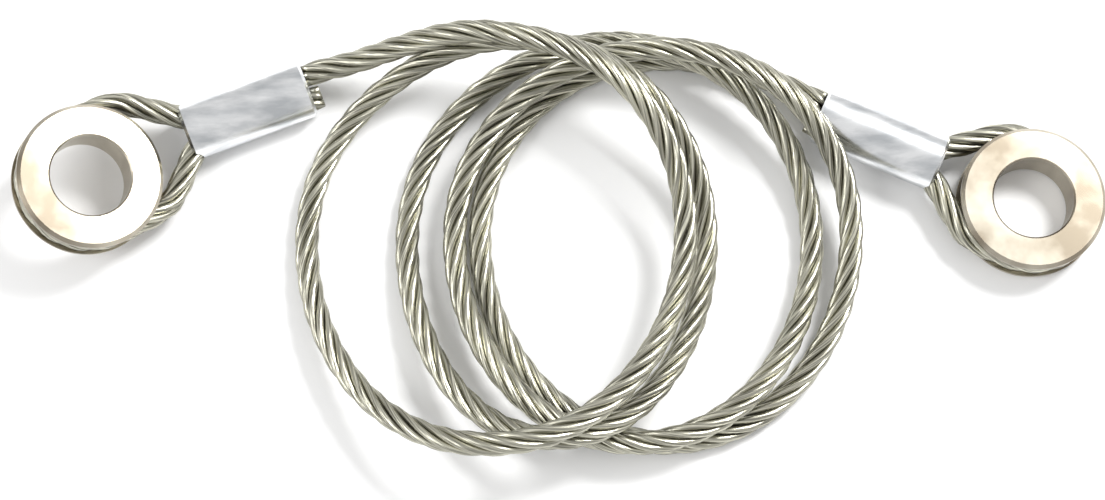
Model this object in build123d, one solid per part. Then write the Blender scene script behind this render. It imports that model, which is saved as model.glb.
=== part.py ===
"""Security cable: a coiled 6 mm steel wire rope with a grooved ring in a pressed eye at each end.

Millimetres. +Z is up, X runs from the left ring to the right ring, and the floor is z = 0. The origin
is on the floor under the middle of the two end fittings. One node holds each separate piece. The wire
rope is one piece of the real object, cut here into its two eyes, the lead and the coil.
"""
from build123d import *
import math
import os

# Rope
ROPE_D = 6.0            # wire rope, over its strands
ROPE_R = ROPE_D / 2
FLOOR_GAP = 0.2         # lowest strands over the floor, so that the plain solids clear it

# Rings
RING_D = 36.0           # over the flanges
RING_BORE_D = 20.0
RING_T = 10.0           # face to face
RING_EDGE = 0.9         # chamfer at the rim of each face
BORE_EDGE = 0.4         # chamfer at each mouth of the bore
GROOVE_RUN = 0.2        # running clearance between rope and groove, all round
SEAT_R = 15.0           # centre line of the rope in the groove

# Ferrules
FERRULE_L = 32.5
FERRULE_W = 14.6        # across the two legs
FERRULE_H = 13.0        # over one leg
FERRULE_EDGE = 0.7      # chamfer at each mouth
LEG_WEB = 0.2           # metal left between the two legs
TAIL_L = 2.5            # cut tail standing out of the mouth on the coil's side
LEG_OFFSET = ROPE_R + LEG_WEB / 2
FERRULE_Z = FERRULE_H / 2

# Eyes
LEG_ANGLE = 38.0        # how far each leg splays from the ferrule's axis
LEG_INSET = 2.0         # where a leg starts to splay, inside the mouth
LEG_BEND_R = 6.0        # bend of a leg at the mouth
SHOULDER_R = 13.0       # bend of a leg back towards the ring

# End fittings: coil-side mouth of the ferrule, heading of the ferrule towards its ring, distance from
# the ring-side mouth to the ring's centre, and how the eye's plane is yawed, lifted and rolled.
ENDS = {
    "left": dict(mouth=(-62.8, 20.5), heading=201.7, throat=28.0, yaw=7.0, lift=18.5, roll=10.0, side=-1),
    "right": dict(mouth=(65.7, 13.5), heading=-23.7, throat=24.0, yaw=0.0, lift=-2.0, roll=0.0, side=1),
}

# Coil. Each station is where the rope crosses the coil's middle line or passes a top or a bottom of a
# turn: (x, y from the middle line, z of the rope's centre, z half way to the next station).
COIL_Y = -17.4          # the coil's middle line
STATIONS = [
    (-18.0, 47.4, 23.6, 25.6),
    (32.2, 0.0, 12.4, 20.2),
    (-15.5, -56.6, 22.4, 9.0),
    (-63.3, 0.0, 3.2, 6.2),
    (-12.9, 48.0, 18.6, 18.0),
    (37.5, 0.0, 5.4, 13.6),
    (-0.4, -54.0, 16.0, 8.0),
    (-38.3, 0.0, 3.2, 3.2),
    (12.9, 50.2, 9.0, 9.8),
    (64.0, 0.0, 3.2, 9.2),
    (18.8, -54.0, 9.2, 8.8),
    (-26.5, 0.0, 5.4, 9.2),
    (23.4, 46.6, 14.6, 17.6),
    (73.3, 0.0, 8.5, 3.2),
    (26.5, -52.8, 3.2, 3.2),
    (-20.3, 0.0, 3.2, 3.2),
    (24.7, 47.2, 3.2, 3.4),
]
LAST_QUARTER_X = 84.8   # where the last quarter would cross the middle line if it weren't stopped
BAND_W = ROPE_D + 0.4   # a turn's width in the coil's solid
SLICES = 3              # steps in the height of each half quarter
SHELTER = 0.5           # clearance of the coil's solid round the right ferrule
ARCH_Z = FERRULE_H + 0.5  # underside of the turn that lies over the right ferrule

# Where the rope isn't coiled: from the left ferrule's mouth to the first turn, and from the last turn to
# the right ferrule's mouth.
LEFT_LEAD = [(-51.3, 26.2, 9.4), (-38.3, 29.0, 15.2)]
STUB_L = 5.0            # straight rope at each mouth
RIGHT_LEAD = [(38.7, 28.5, 3.4), (53.2, 23.8, 5.0)]


def eased(low, high, share):
    """Height at a share of the way between two stations' heights, level at both ends."""
    return low + (high - low) * (1 - math.cos(math.pi * share)) / 2


class End:
    """The lines and planes of one end fitting, from which its four pieces are made."""

    def __init__(self, mouth, heading, throat, yaw, lift, roll, side):
        outward = Vector(math.cos(math.radians(heading)), math.sin(math.radians(heading)), 0)
        self.mouth = Vector(mouth[0], mouth[1], FERRULE_Z)
        self.outward = outward
        level = Vector(0, 0, 1).cross(outward)
        # across points to the side that the main leg lies on, which is the far side of both ferrules
        across = (level * side).rotate(Axis((0, 0, 0), tuple(outward)), roll * side)
        self.across = across
        self.ferrule_plane = Plane(origin=self.mouth, x_dir=across, z_dir=outward)
        ring_mouth = self.mouth + outward * FERRULE_L
        up = outward.cross(across) if outward.cross(across).Z > 0 else across.cross(outward)
        lifted = outward * math.cos(math.radians(lift)) + up * math.sin(math.radians(lift))
        normal = up * math.cos(math.radians(lift)) - outward * math.sin(math.radians(lift))
        self.eye_x = lifted * math.cos(math.radians(yaw)) - across * math.sin(math.radians(yaw))
        self.eye_y = across * math.cos(math.radians(yaw)) + lifted * math.sin(math.radians(yaw))
        self.centre = ring_mouth + self.eye_x * throat
        self.normal = normal
        self.throat = throat
        self.ring_mouth = ring_mouth
        self.ring_plane = Plane(origin=self.centre, x_dir=self.eye_x, z_dir=normal)

    def leg(self, sign, start):
        """One leg of the eye, from inside the ferrule to beside the ring's centre."""
        corner = self.ring_mouth - self.outward * LEG_INSET + self.across * (sign * LEG_OFFSET)
        reach = (SEAT_R - LEG_OFFSET) / math.tan(math.radians(LEG_ANGLE)) - LEG_INSET
        shoulder = self.centre + self.eye_x * (reach - self.throat) + self.eye_y * (sign * SEAT_R)
        abeam = self.centre + self.eye_y * (sign * SEAT_R)
        begin = self.mouth + self.across * (sign * LEG_OFFSET) - self.outward * start
        return [begin, corner, shoulder, abeam]

    def main_exit(self):
        """Where the rope's centre leaves the coil-side mouth."""
        return self.mouth + self.across * LEG_OFFSET


def ring(end):
    """Turned ring with a round groove, made on the eye's plane."""
    outer, bore, half = RING_D / 2, RING_BORE_D / 2, RING_T / 2
    groove_r = ROPE_R + GROOVE_RUN
    with BuildPart() as part:
        with BuildSketch(Plane.XZ) as section:
            with BuildLine():
                Polyline(
                    (bore + BORE_EDGE, -half), (outer - RING_EDGE, -half), (outer, -half + RING_EDGE),
                    (outer, half - RING_EDGE), (outer - RING_EDGE, half), (bore + BORE_EDGE, half),
                    (bore, half - BORE_EDGE), (bore, -half + BORE_EDGE), close=True)
            make_face()
            with Locations((SEAT_R, 0)):
                Circle(groove_r, mode=Mode.SUBTRACT)
            with Locations(((SEAT_R + outer) / 2 + 1, 0)):
                Rectangle(outer - SEAT_R + 2, 2 * groove_r, mode=Mode.SUBTRACT)
        revolve(axis=Axis.Z)
    return end.ring_plane.location * part.part


def eye_rope(end):
    """The rope from its cut tail, through the ferrule, round the ring and back to the coil's side."""
    tail = end.leg(-1, TAIL_L)
    main = end.leg(1, 0.0)
    far = end.centre + end.eye_x * SEAT_R
    radii = [LEG_BEND_R, SHOULDER_R]
    with BuildPart() as part:
        with BuildLine() as path:
            FilletPolyline(*tail, radius=radii)
            ThreePointArc(tail[-1], far, main[-1])
            FilletPolyline(*reversed(main), radius=radii[::-1])
        with BuildSketch(Plane(origin=tail[0], z_dir=end.outward)):
            Circle(ROPE_R)
        sweep(path=path.wires()[0], transition=Transition.RIGHT)
    return part.part


def ferrule(end, rope):
    """Pressed oval sleeve, closed tight round the two legs of the rope."""
    with BuildPart() as part:
        with BuildSketch(end.ferrule_plane):
            Ellipse(FERRULE_W / 2, FERRULE_H / 2)
        extrude(amount=FERRULE_L)
        chamfer(part.faces().filter_by(GeomType.PLANE).edges(), FERRULE_EDGE)
    return part.part - rope


def lead(points):
    """A plain tube of the rope along a stretch that isn't coiled."""
    points = [Vector(*p) for p in points]
    radii = []
    for before, corner, after in zip(points, points[1:], points[2:]):
        run_in, run_out = corner - before, after - corner
        half_turn = math.radians(run_in.get_angle(run_out)) / 2
        radii.append(0.45 * min(run_in.length, run_out.length) / math.tan(half_turn))
    with BuildPart() as part:
        with BuildLine() as path:
            FilletPolyline(*points, radius=radii)
        with BuildSketch(Plane(origin=points[0], z_dir=points[1] - points[0])):
            Circle(ROPE_R)
        sweep(path=path.wires()[0])
    section_times_length = math.pi * ROPE_R**2 * path.wires()[0].length
    print(f"lead: radii {[round(r, 1) for r in radii]}, volume {part.part.volume:.1f}, "
          f"section times length {section_times_length:.1f}")
    return part.part


def band(start, end):
    """A quarter turn's outer shape, from the floor to over the rope, in steps of height."""
    on_line, at_peak = (start, end) if start[1] == 0.0 else (end, start)
    centre = Vector(at_peak[0], COIL_Y)
    a, b = on_line[0] - at_peak[0], at_peak[1]
    pieces = []
    for half, (low, high) in enumerate(((start[2], start[3]), (start[3], end[2]))):
        for i in range(SLICES):
            shares = [(half + (i + k) / SLICES) / 2 for k in (0, 1)]
            top = max(eased(low, high, i / SLICES), eased(low, high, (i + 1) / SLICES)) + ROPE_R + FLOOR_GAP
            turn = [(s if on_line is start else 1 - s) * math.pi / 2 for s in shares]
            rays = [centre + Vector(3 * a * math.cos(t), 3 * b * math.sin(t)) for t in turn]
            with BuildPart() as part:
                with BuildSketch():
                    with Locations(centre):
                        Ellipse(abs(a) + BAND_W / 2, abs(b) + BAND_W / 2)
                        Ellipse(abs(a) - BAND_W / 2, abs(b) - BAND_W / 2, mode=Mode.SUBTRACT)
                    with BuildLine():
                        Polyline(centre, rays[0], rays[1], close=True)
                    make_face(mode=Mode.INTERSECT)
                extrude(amount=top)
            pieces.append(part.part)
    return pieces


def straight_band(start, end, top, before):
    """A straight stretch's outer shape, begun a little before its first point."""
    run = Vector(end[0] - start[0], end[1] - start[1])
    plane = Plane(origin=(start[0], start[1], 0), x_dir=run, z_dir=(0, 0, 1)).offset(0)
    box = Box(run.length + before, BAND_W, top, align=(Align.MIN, Align.CENTER, Align.MIN))
    return plane.location * Pos(-before, 0, 0) * box


def behind(point, direction):
    """Everything behind the plane through a point, square to a direction."""
    return Plane(origin=point, z_dir=direction).location * Box(
        400, 400, 400, align=(Align.CENTER, Align.CENTER, Align.MAX))


def build_coil(left_lead, right_lead, right):
    """One closed solid of the coil's outer shape, clear of the ferrules and cut back to the leads."""
    first_top = STATIONS[0]
    entry, before_entry = Vector(*LEFT_LEAD[-1]), Vector(*LEFT_LEAD[-2])
    leave, after_leave = Vector(*RIGHT_LEAD[0]), Vector(*RIGHT_LEAD[1])
    run_in = straight_band(LEFT_LEAD[-1], (first_top[0], COIL_Y + first_top[1]),
                           first_top[2] + ROPE_R + FLOOR_GAP, 8)
    pieces = [run_in - behind(entry, entry - before_entry)]
    for start, end in zip(STATIONS, STATIONS[1:]):
        pieces += band(start, end)
    run_out = [piece & behind(leave, after_leave - leave)
               for piece in band(STATIONS[-1], (LAST_QUARTER_X, 0.0, FERRULE_Z, 0.0))[:SLICES]]
    pieces += [piece for piece in run_out if piece is not None and piece.volume > 1e-3]
    coil = Part() + pieces
    shelter = right.ferrule_plane.location * Pos(0, 0, -TAIL_L - SHELTER) * Box(
        FERRULE_W + 2 * SHELTER, 2 * ARCH_Z - FERRULE_H, FERRULE_L + TAIL_L + 2 * SHELTER,
        align=(Align.CENTER, Align.CENTER, Align.MIN))
    return coil - shelter - left_lead - right_lead


def main():
    left, right = End(**ENDS["left"]), End(**ENDS["right"])
    left_lead = lead([left.main_exit(), left.main_exit() - left.outward * STUB_L, *LEFT_LEAD])
    right_lead = lead([*RIGHT_LEAD, right.main_exit() - right.outward * STUB_L, right.main_exit()])
    nodes = {"left_lead": left_lead, "right_lead": right_lead,
             "rope_coil": build_coil(left_lead, right_lead, right)}
    for name, end in (("left", left), ("right", right)):
        rope = eye_rope(end)
        nodes[f"{name}_ring"] = ring(end)
        nodes[f"{name}_eye_rope"] = rope
        nodes[f"{name}_ferrule"] = ferrule(end, rope)
        print(name, "mouth of the rope", [round(v, 3) for v in end.main_exit()], "ring centre",
              [round(v, 3) for v in end.centre], "normal", [round(v, 5) for v in end.normal])
    boxes = [nodes[f"{s}_{p}"].bounding_box() for s in ENDS for p in ("ring", "eye_rope", "ferrule")]
    low = [min(getattr(box.min, k) for box in boxes) for k in "XYZ"]
    high = [max(getattr(box.max, k) for box in boxes) for k in "XYZ"]
    # the origin is on the floor under the middle of the two end fittings
    shift = Vector(-(low[0] + high[0]) / 2, -(low[1] + high[1]) / 2, -min(low[2], 0))
    print("end fittings", [round(v, 3) for v in (*low, *high)], "moved by", [round(v, 4) for v in shift])
    os.makedirs("parts", exist_ok=True)
    for name, solid in nodes.items():
        export_step(Pos(*shift) * solid, f"parts/{name}.step")


if __name__ == "__main__":
    main()
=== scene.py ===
"""Coiled steel rope cable with a ring in an eye at each end: laid strands, metals, stage and camera.

Places are worked out in millimetres, as the part's own source gives them, and turned to metres once.
"""
import math

import bmesh
import bpy
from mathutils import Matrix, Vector


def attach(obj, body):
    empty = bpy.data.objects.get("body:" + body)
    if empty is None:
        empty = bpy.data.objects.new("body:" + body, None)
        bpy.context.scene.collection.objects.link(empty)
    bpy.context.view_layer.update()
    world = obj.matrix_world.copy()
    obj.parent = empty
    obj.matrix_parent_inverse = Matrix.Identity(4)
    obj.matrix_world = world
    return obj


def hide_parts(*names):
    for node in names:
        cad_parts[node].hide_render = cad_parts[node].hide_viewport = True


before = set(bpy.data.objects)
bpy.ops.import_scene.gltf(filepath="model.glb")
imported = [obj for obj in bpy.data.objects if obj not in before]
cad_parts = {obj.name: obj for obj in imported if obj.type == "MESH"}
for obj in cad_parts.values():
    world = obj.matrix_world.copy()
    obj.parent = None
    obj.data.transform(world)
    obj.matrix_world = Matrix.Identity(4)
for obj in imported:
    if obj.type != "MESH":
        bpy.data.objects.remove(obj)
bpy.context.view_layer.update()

bl_info = {
    "name": "Rope cable",
    "version": (1, 0, 0),
    "blender": (4, 5, 0),
    "location": "View3D > Sidebar > Cable",
    "description": "Builds the cable's looks",
    "category": "Object",
}

MM = 0.001

# Rope: a core and six strands, laid right-handed
STRAND_COUNT = 6
STRAND_R = 1.01
STRAND_CIRCLE_R = 1.99  # centre lines of the outer strands round the core
LAY = 40.0              # length of rope in which a strand goes round once
STRAND_SIDES = 8

# Coil: (x, y from the middle line, z of the rope's centre, z half way to the next station), where the
# rope crosses the coil's middle line or passes a top or a bottom of a turn
COIL_Y = -17.27
SHIFT_X = -0.793
STEPS_PER_QUARTER = 4
STATIONS = [
    (-18.0, 47.4, 23.6, 25.6),
    (32.2, 0, 12.4, 20.2),
    (-15.5, -56.6, 22.4, 9.0),
    (-63.3, 0, 3.2, 6.2),
    (-12.9, 48.0, 18.6, 18.0),
    (37.5, 0, 5.4, 13.6),
    (-0.4, -54.0, 16.0, 8.0),
    (-38.3, 0, 3.2, 3.2),
    (12.9, 50.2, 9.0, 9.8),
    (64.0, 0, 3.2, 9.2),
    (18.8, -54.0, 9.2, 8.8),
    (-26.5, 0, 5.4, 9.2),
    (23.4, 46.6, 14.6, 17.6),
    (73.3, 0, 8.5, 3.2),
    (26.5, -52.8, 3.2, 3.2),
    (-20.3, 0, 3.2, 3.2),
    (24.7, 47.2, 3.2, 3.4),
]

# The stretches that aren't coiled, from the left mouth and to the right mouth
LEAD_IN = [
    (-64.722, 23.466, 7.064),
    (-60.077, 25.315, 7.064),
    (-52.1, 26.3, 9.4),
    (-39.1, 29.1, 15.2),
    (-28.3, 30.1, 21.0),
]
LEAD_OUT = [
    (37.9, 28.6, 3.4),
    (52.4, 23.9, 5.0),
    (61.575, 18.478, 6.526),
    (66.153, 16.468, 6.526),
]

# End fittings: the ferrule's mouth on the coil's side, its heading towards the ring, the distance from
# its other mouth to the ring's centre, how the eye is yawed, lifted and rolled, and which way it faces
ENDS = {
    "left": dict(mouth=(-63.593, 20.629, 6.526), heading=201.7, throat=28.0,
                 yaw=7.0, lift=18.5, roll=10.0, side=-1),
    "right": dict(mouth=(64.907, 13.629, 6.526), heading=-23.7, throat=24.0,
                  yaw=0.0, lift=-2.0, roll=0.0, side=1),
}
FERRULE_L = 32.5
LEG_OFFSET = 3.1        # each leg's centre line from the ferrule's axis
LEG_ANGLE = 38.0        # how far each leg splays
LEG_INSET = 2.0         # where a leg starts to splay, inside the mouth
TAIL_L = 2.5            # cut tail standing out of the mouth
SEAT_R = 15.0           # centre line of the rope in the ring's groove
SHOULDER = (5.0, 11.5)  # a leg's bend: back from its end, and out from the eye's middle
ARC_STEPS = 16

# Camera, and the point on the floor that it looks down on
CAMERA_TARGET = (-2.14, -17.12, 0.0)
CAMERA_DISTANCE = 650.0
CAMERA_ELEVATION = 75.0
LENS = 84.7
SENSOR = 36
LENS_SHIFT_Y = -0.00905

# Stage
FLOOR_HALF = 3          # metres
FLOOR_WHITE = (0.9, 0.9, 0.9, 1)
WORLD_STRENGTH = 0.75
LAMPS = [               # name, place and width in metres, watts
    ("key", (0.6, 0.5, 0.9), 0.35, 14),
    ("fill", (-0.7, -0.2, 0.8), 0.5, 4),
]


# ---------------------------------------------------------------------- routes

def quarter_point(start, end, step):
    """A control point on the quarter ellipse between two stations, one of them on the middle line."""
    angle = step * math.pi / 2 / STEPS_PER_QUARTER
    half = STEPS_PER_QUARTER / 2
    if step <= half:
        z = start[2] + (start[3] - start[2]) * step / half
    else:
        z = start[3] + (end[2] - start[3]) * (step - half) / half
    if start[1] == 0:
        x = end[0] + (start[0] - end[0]) * math.cos(angle)
        y = end[1] * math.sin(angle)
    else:
        x = start[0] + (end[0] - start[0]) * math.sin(angle)
        y = start[1] * math.cos(angle)
    return (x + SHIFT_X, COIL_Y + y, z)


def route():
    """The free rope's control points: the lead in, the turns, and the lead out."""
    turns = [quarter_point(start, end, step)
             for start, end in zip(STATIONS, STATIONS[1:]) for step in range(STEPS_PER_QUARTER)]
    last = STATIONS[-1]
    turns.append((last[0] + SHIFT_X, COIL_Y + last[1], last[2]))
    return [Vector(point) * MM for point in LEAD_IN + turns + LEAD_OUT]


def eye_route(mouth, heading, throat, yaw, lift, roll, side):
    """An eye's control points: from the cut tail, round the ring, to the mouth on the coil's side."""
    heading, yaw, lift, roll = (math.radians(angle) for angle in (heading, yaw, lift, roll))
    mouth = Vector(mouth)
    outward = Vector((math.cos(heading), math.sin(heading), 0))
    level = Vector((0, 0, 1)).cross(outward) * side
    across = level * math.cos(roll) + Vector((0, 0, math.sin(roll)))
    up = outward.cross(across)
    up = up if up.z > 0 else -up
    lifted = outward * math.cos(lift) + up * math.sin(lift)
    eye_x = lifted * math.cos(yaw) - across * math.sin(yaw)
    eye_y = across * math.cos(yaw) + lifted * math.sin(yaw)
    ring_mouth = mouth + outward * FERRULE_L
    centre = ring_mouth + eye_x * throat
    reach = (SEAT_R - LEG_OFFSET) / math.tan(math.radians(LEG_ANGLE)) - LEG_INSET

    def leg(sign, start):
        offset = across * (sign * LEG_OFFSET)
        return [
            mouth + offset - outward * start,
            mouth + offset + outward * 15,
            ring_mouth + offset - outward * 5,
            ring_mouth + offset - outward * LEG_INSET,
            ring_mouth + eye_x * (reach - SHOULDER[0]) + eye_y * (sign * SHOULDER[1]),
            centre + eye_x * (reach - throat) + eye_y * (sign * SEAT_R),
        ]

    angles = [step * math.pi / ARC_STEPS for step in range(ARC_STEPS + 1)]
    arc = [centre + (eye_x * math.sin(a) - eye_y * math.cos(a)) * SEAT_R for a in angles]
    return [point * MM for point in leg(-1, TAIL_L) + arc + leg(1, 0)[::-1]]


def smooth(points, step):
    """Points at even steps along the NURBS line through a route, and the line's length."""
    data = bpy.data.curves.new("line", "CURVE")
    data.dimensions = "3D"
    data.resolution_u = 12
    spline = data.splines.new("NURBS")
    spline.points.add(len(points) - 1)
    for target, point in zip(spline.points, points):
        target.co = (*point, 1)
    spline.order_u = 3
    spline.use_endpoint_u = True
    holder = bpy.data.objects.new("line", data)
    mesh = bpy.data.meshes.new_from_object(holder)
    line = [vertex.co.copy() for vertex in mesh.vertices]
    bpy.data.objects.remove(holder)

    total = sum((b - a).length for a, b in zip(line, line[1:]))
    count = round(total / step)
    even, travelled, i = [line[0]], 0.0, 0
    for k in range(1, count):
        wanted = total * k / count
        while travelled + (line[i + 1] - line[i]).length < wanted:
            travelled += (line[i + 1] - line[i]).length
            i += 1
        even.append(line[i].lerp(line[i + 1], (wanted - travelled) / (line[i + 1] - line[i]).length))
    return even + [line[-1]], total


# ---------------------------------------------------------------------- rope

def cross_sections(line):
    """At each point of a line: its place, two directions square to it that don't twist, and the run."""
    last = len(line) - 1
    tangents = [(line[min(i + 1, last)] - line[max(i - 1, 0)]).normalized() for i in range(len(line))]
    side = tangents[0].orthogonal().normalized()
    sections, run = [], 0.0
    for i, tangent in enumerate(tangents):
        side = (side - tangent * side.dot(tangent)).normalized()
        run += (line[i] - line[i - 1]).length if i else 0
        sections.append((line[i], side.copy(), tangent.cross(side), run))
    return sections


def strands(name, line):
    """The rope as one piece: a core and its laid strands, with UVs round and along each strand."""
    sections = cross_sections(line)
    bm = bmesh.new()
    uv = bm.loops.layers.uv.new("lay")
    for k in range(STRAND_COUNT + 1):
        rows = []
        for centre, u, v, run in sections:
            turn = k * 2 * math.pi / STRAND_COUNT + 2 * math.pi * run / (LAY * MM)
            off_core = STRAND_CIRCLE_R * MM if k else 0
            middle = centre + (u * math.cos(turn) + v * math.sin(turn)) * off_core
            angles = [turn + j * 2 * math.pi / STRAND_SIDES for j in range(STRAND_SIDES)]
            rows.append([bm.verts.new(middle + (u * math.cos(a) + v * math.sin(a)) * (STRAND_R * MM))
                         for a in angles])
        for n, (near, far) in enumerate(zip(rows, rows[1:])):
            for j in range(STRAND_SIDES):
                beside = (j + 1) % STRAND_SIDES
                face = bm.faces.new((near[j], near[beside], far[beside], far[j]))
                face.smooth = True
                for loop, (round_it, along) in zip(face.loops, ((0, 0), (1, 0), (1, 1), (0, 1))):
                    loop[uv].uv = ((j + round_it) / STRAND_SIDES, sections[n + along][3] / MM)
        bm.faces.new(rows[0][::-1])
        bm.faces.new(rows[-1])
    bmesh.ops.recalc_face_normals(bm, faces=bm.faces)
    return linked(name, bm)


def linked(name, bm):
    """Turn a bmesh into an object in the scene."""
    mesh = bpy.data.meshes.new(name)
    bm.to_mesh(mesh)
    bm.free()
    piece = bpy.data.objects.new(name, mesh)
    bpy.context.scene.collection.objects.link(piece)
    return piece


# ---------------------------------------------------------------------- materials

def linear(code):
    """sRGB hex to a linear colour."""
    parts = [int(code[i:i + 2], 16) / 255 for i in (0, 2, 4)]
    return (*[c / 12.92 if c <= 0.04045 else ((c + 0.055) / 1.055) ** 2.4 for c in parts], 1)


def node(tree, kind, links=(), **sockets):
    """Add a shader node, set its sockets, and link what is given."""
    made = tree.nodes.new(kind)
    for key, value in sockets.items():
        made.inputs[key.replace("_", " ")].default_value = value
    for socket, source in links:
        tree.links.new(source, made.inputs[socket])
    return made


def metal(name, dark, light, rough, scale, bump, coords="Object", stretch=(1, 1, 1)):
    """A metal whose colour and surface vary with a stretched grain."""
    mat = bpy.data.materials.new(name)
    mat.use_nodes = True
    tree = mat.node_tree
    shader = tree.nodes["Principled BSDF"]
    where = node(tree, "ShaderNodeTexCoord")
    place = node(tree, "ShaderNodeMapping", [("Vector", where.outputs[coords])], Scale=stretch)
    grain = node(tree, "ShaderNodeTexNoise", [("Vector", place.outputs[0])], Scale=scale, Detail=4.0)
    ramp = node(tree, "ShaderNodeValToRGB", [("Fac", grain.outputs[0])])
    for element, position, code in zip(ramp.color_ramp.elements, (0.35, 0.65), (dark, light)):
        element.position, element.color = position, linear(code)
    raised = node(tree, "ShaderNodeBump", [("Height", grain.outputs[0])], Strength=bump, Distance=0.0002)
    tree.links.new(ramp.outputs[0], shader.inputs["Base Color"])
    tree.links.new(raised.outputs[0], shader.inputs["Normal"])
    shader.inputs["Metallic"].default_value = 1.0
    shader.inputs["Roughness"].default_value = rough
    return mat


def rope_wire():
    """Bright drawn steel wire, a little yellow; the grain runs along each strand, as its wires do."""
    return metal("rope_wire", "6A6860", "DAD8C6", 0.30, 1.0, 0.5, "UV", (18, 0.05, 1))


def turned_steel():
    """Steel turned on a lathe: warm grey, with soft uneven patches."""
    return metal("turned_steel", "8E8474", "CFC9BA", 0.27, 60.0, 0.03, stretch=(1, 1, 0.2))


def pressed_aluminium():
    """Aluminium pressed in a die: bright and cool, lightly marked by the tool."""
    return metal("pressed_aluminium", "C6C9CC", "F4F5F6", 0.24, 260.0, 0.2, stretch=(0.3, 1, 1))


def white_floor():
    """Matt white board."""
    mat = bpy.data.materials.new("white_floor")
    mat.use_nodes = True
    shader = mat.node_tree.nodes["Principled BSDF"]
    shader.inputs["Base Color"].default_value = FLOOR_WHITE
    shader.inputs["Roughness"].default_value = 0.9
    return mat


def dress(name, mat):
    """Give a CAD node its material."""
    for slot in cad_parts[name].material_slots:
        slot.material = mat


# ---------------------------------------------------------------------- stage

def add_floor():
    bm = bmesh.new()
    bmesh.ops.create_grid(bm, x_segments=1, y_segments=1, size=FLOOR_HALF)
    floor = linked("floor", bm)
    floor.data.materials.append(white_floor())


def add_lights(scene):
    world = bpy.data.worlds.new("world")
    world.use_nodes = True
    background = world.node_tree.nodes["Background"]
    background.inputs["Color"].default_value = (1, 1, 1, 1)
    background.inputs["Strength"].default_value = WORLD_STRENGTH
    scene.world = world
    for name, place, size, power in LAMPS:
        data = bpy.data.lights.new(name, "AREA")
        data.size, data.energy = size, power
        lamp = bpy.data.objects.new(name, data)
        lamp.location = place
        lamp.rotation_euler = (-Vector(place)).to_track_quat("-Z", "Y").to_euler()
        scene.collection.objects.link(lamp)


def add_camera(scene):
    camera = bpy.data.objects.new("camera", bpy.data.cameras.new("camera"))
    tilt = math.radians(CAMERA_ELEVATION)
    back = Vector((0, -math.cos(tilt), math.sin(tilt))) * CAMERA_DISTANCE
    camera.location = (Vector(CAMERA_TARGET) + back) * MM
    camera.rotation_euler = (math.pi / 2 - tilt, 0, 0)
    camera.data.lens = LENS
    camera.data.sensor_width = SENSOR
    camera.data.shift_y = LENS_SHIFT_Y
    scene.collection.objects.link(camera)
    scene.camera = camera


# ---------------------------------------------------------------------- add-on

class CableSettings(bpy.types.PropertyGroup):
    step: bpy.props.FloatProperty(name="Step along the rope (mm)", default=1.6, min=0.5, max=5)


class CABLE_OT_rope(bpy.types.Operator):
    """Lay the free rope and the two eyes"""
    bl_idname, bl_label = "cable.rope", "Lay the rope"

    def execute(self, context):
        steel = rope_wire()
        step = context.scene.cable.step * MM
        line, length = smooth(route(), step)
        piece = strands("free_rope", line)
        piece.data.materials.append(steel)
        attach(piece, "cable")
        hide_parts("rope_coil", "left_lead", "right_lead")
        for name, end in ENDS.items():
            eye = strands(f"{name}_eye_strands", smooth(eye_route(**end), step)[0])
            eye.data.materials.append(steel)
            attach(eye, "cable")
            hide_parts(f"{name}_eye_rope")
        return {"FINISHED"}


class CABLE_OT_fittings(bpy.types.Operator):
    """Give the rings and ferrules their metals"""
    bl_idname, bl_label = "cable.fittings", "Dress rings and ferrules"

    def execute(self, context):
        turned, pressed = turned_steel(), pressed_aluminium()
        for name in ENDS:
            dress(f"{name}_ring", turned)
            dress(f"{name}_ferrule", pressed)
        return {"FINISHED"}


class CABLE_OT_stage(bpy.types.Operator):
    """Add the floor, the lights and the camera"""
    bl_idname, bl_label = "cable.stage", "Set the stage"

    def execute(self, context):
        add_floor()
        add_lights(context.scene)
        add_camera(context.scene)
        context.scene.view_settings.view_transform = "Standard"
        return {"FINISHED"}


class CABLE_PT_panel(bpy.types.Panel):
    bl_label, bl_idname = "Cable", "CABLE_PT_panel"
    bl_space_type, bl_region_type, bl_category = "VIEW_3D", "UI", "Cable"

    def draw(self, context):
        self.layout.prop(context.scene.cable, "step")
        for name in ("cable.rope", "cable.fittings", "cable.stage"):
            self.layout.operator(name)


CLASSES = (CableSettings, CABLE_OT_rope, CABLE_OT_fittings, CABLE_OT_stage, CABLE_PT_panel)


def register():
    for cls in CLASSES:
        bpy.utils.register_class(cls)
    bpy.types.Scene.cable = bpy.props.PointerProperty(type=CableSettings)


def unregister():
    del bpy.types.Scene.cable
    for cls in reversed(CLASSES):
        bpy.utils.unregister_class(cls)


def main():
    register()
    bpy.ops.cable.rope()
    bpy.ops.cable.fittings()
    bpy.ops.cable.stage()


if __name__ == "__main__":
    main()
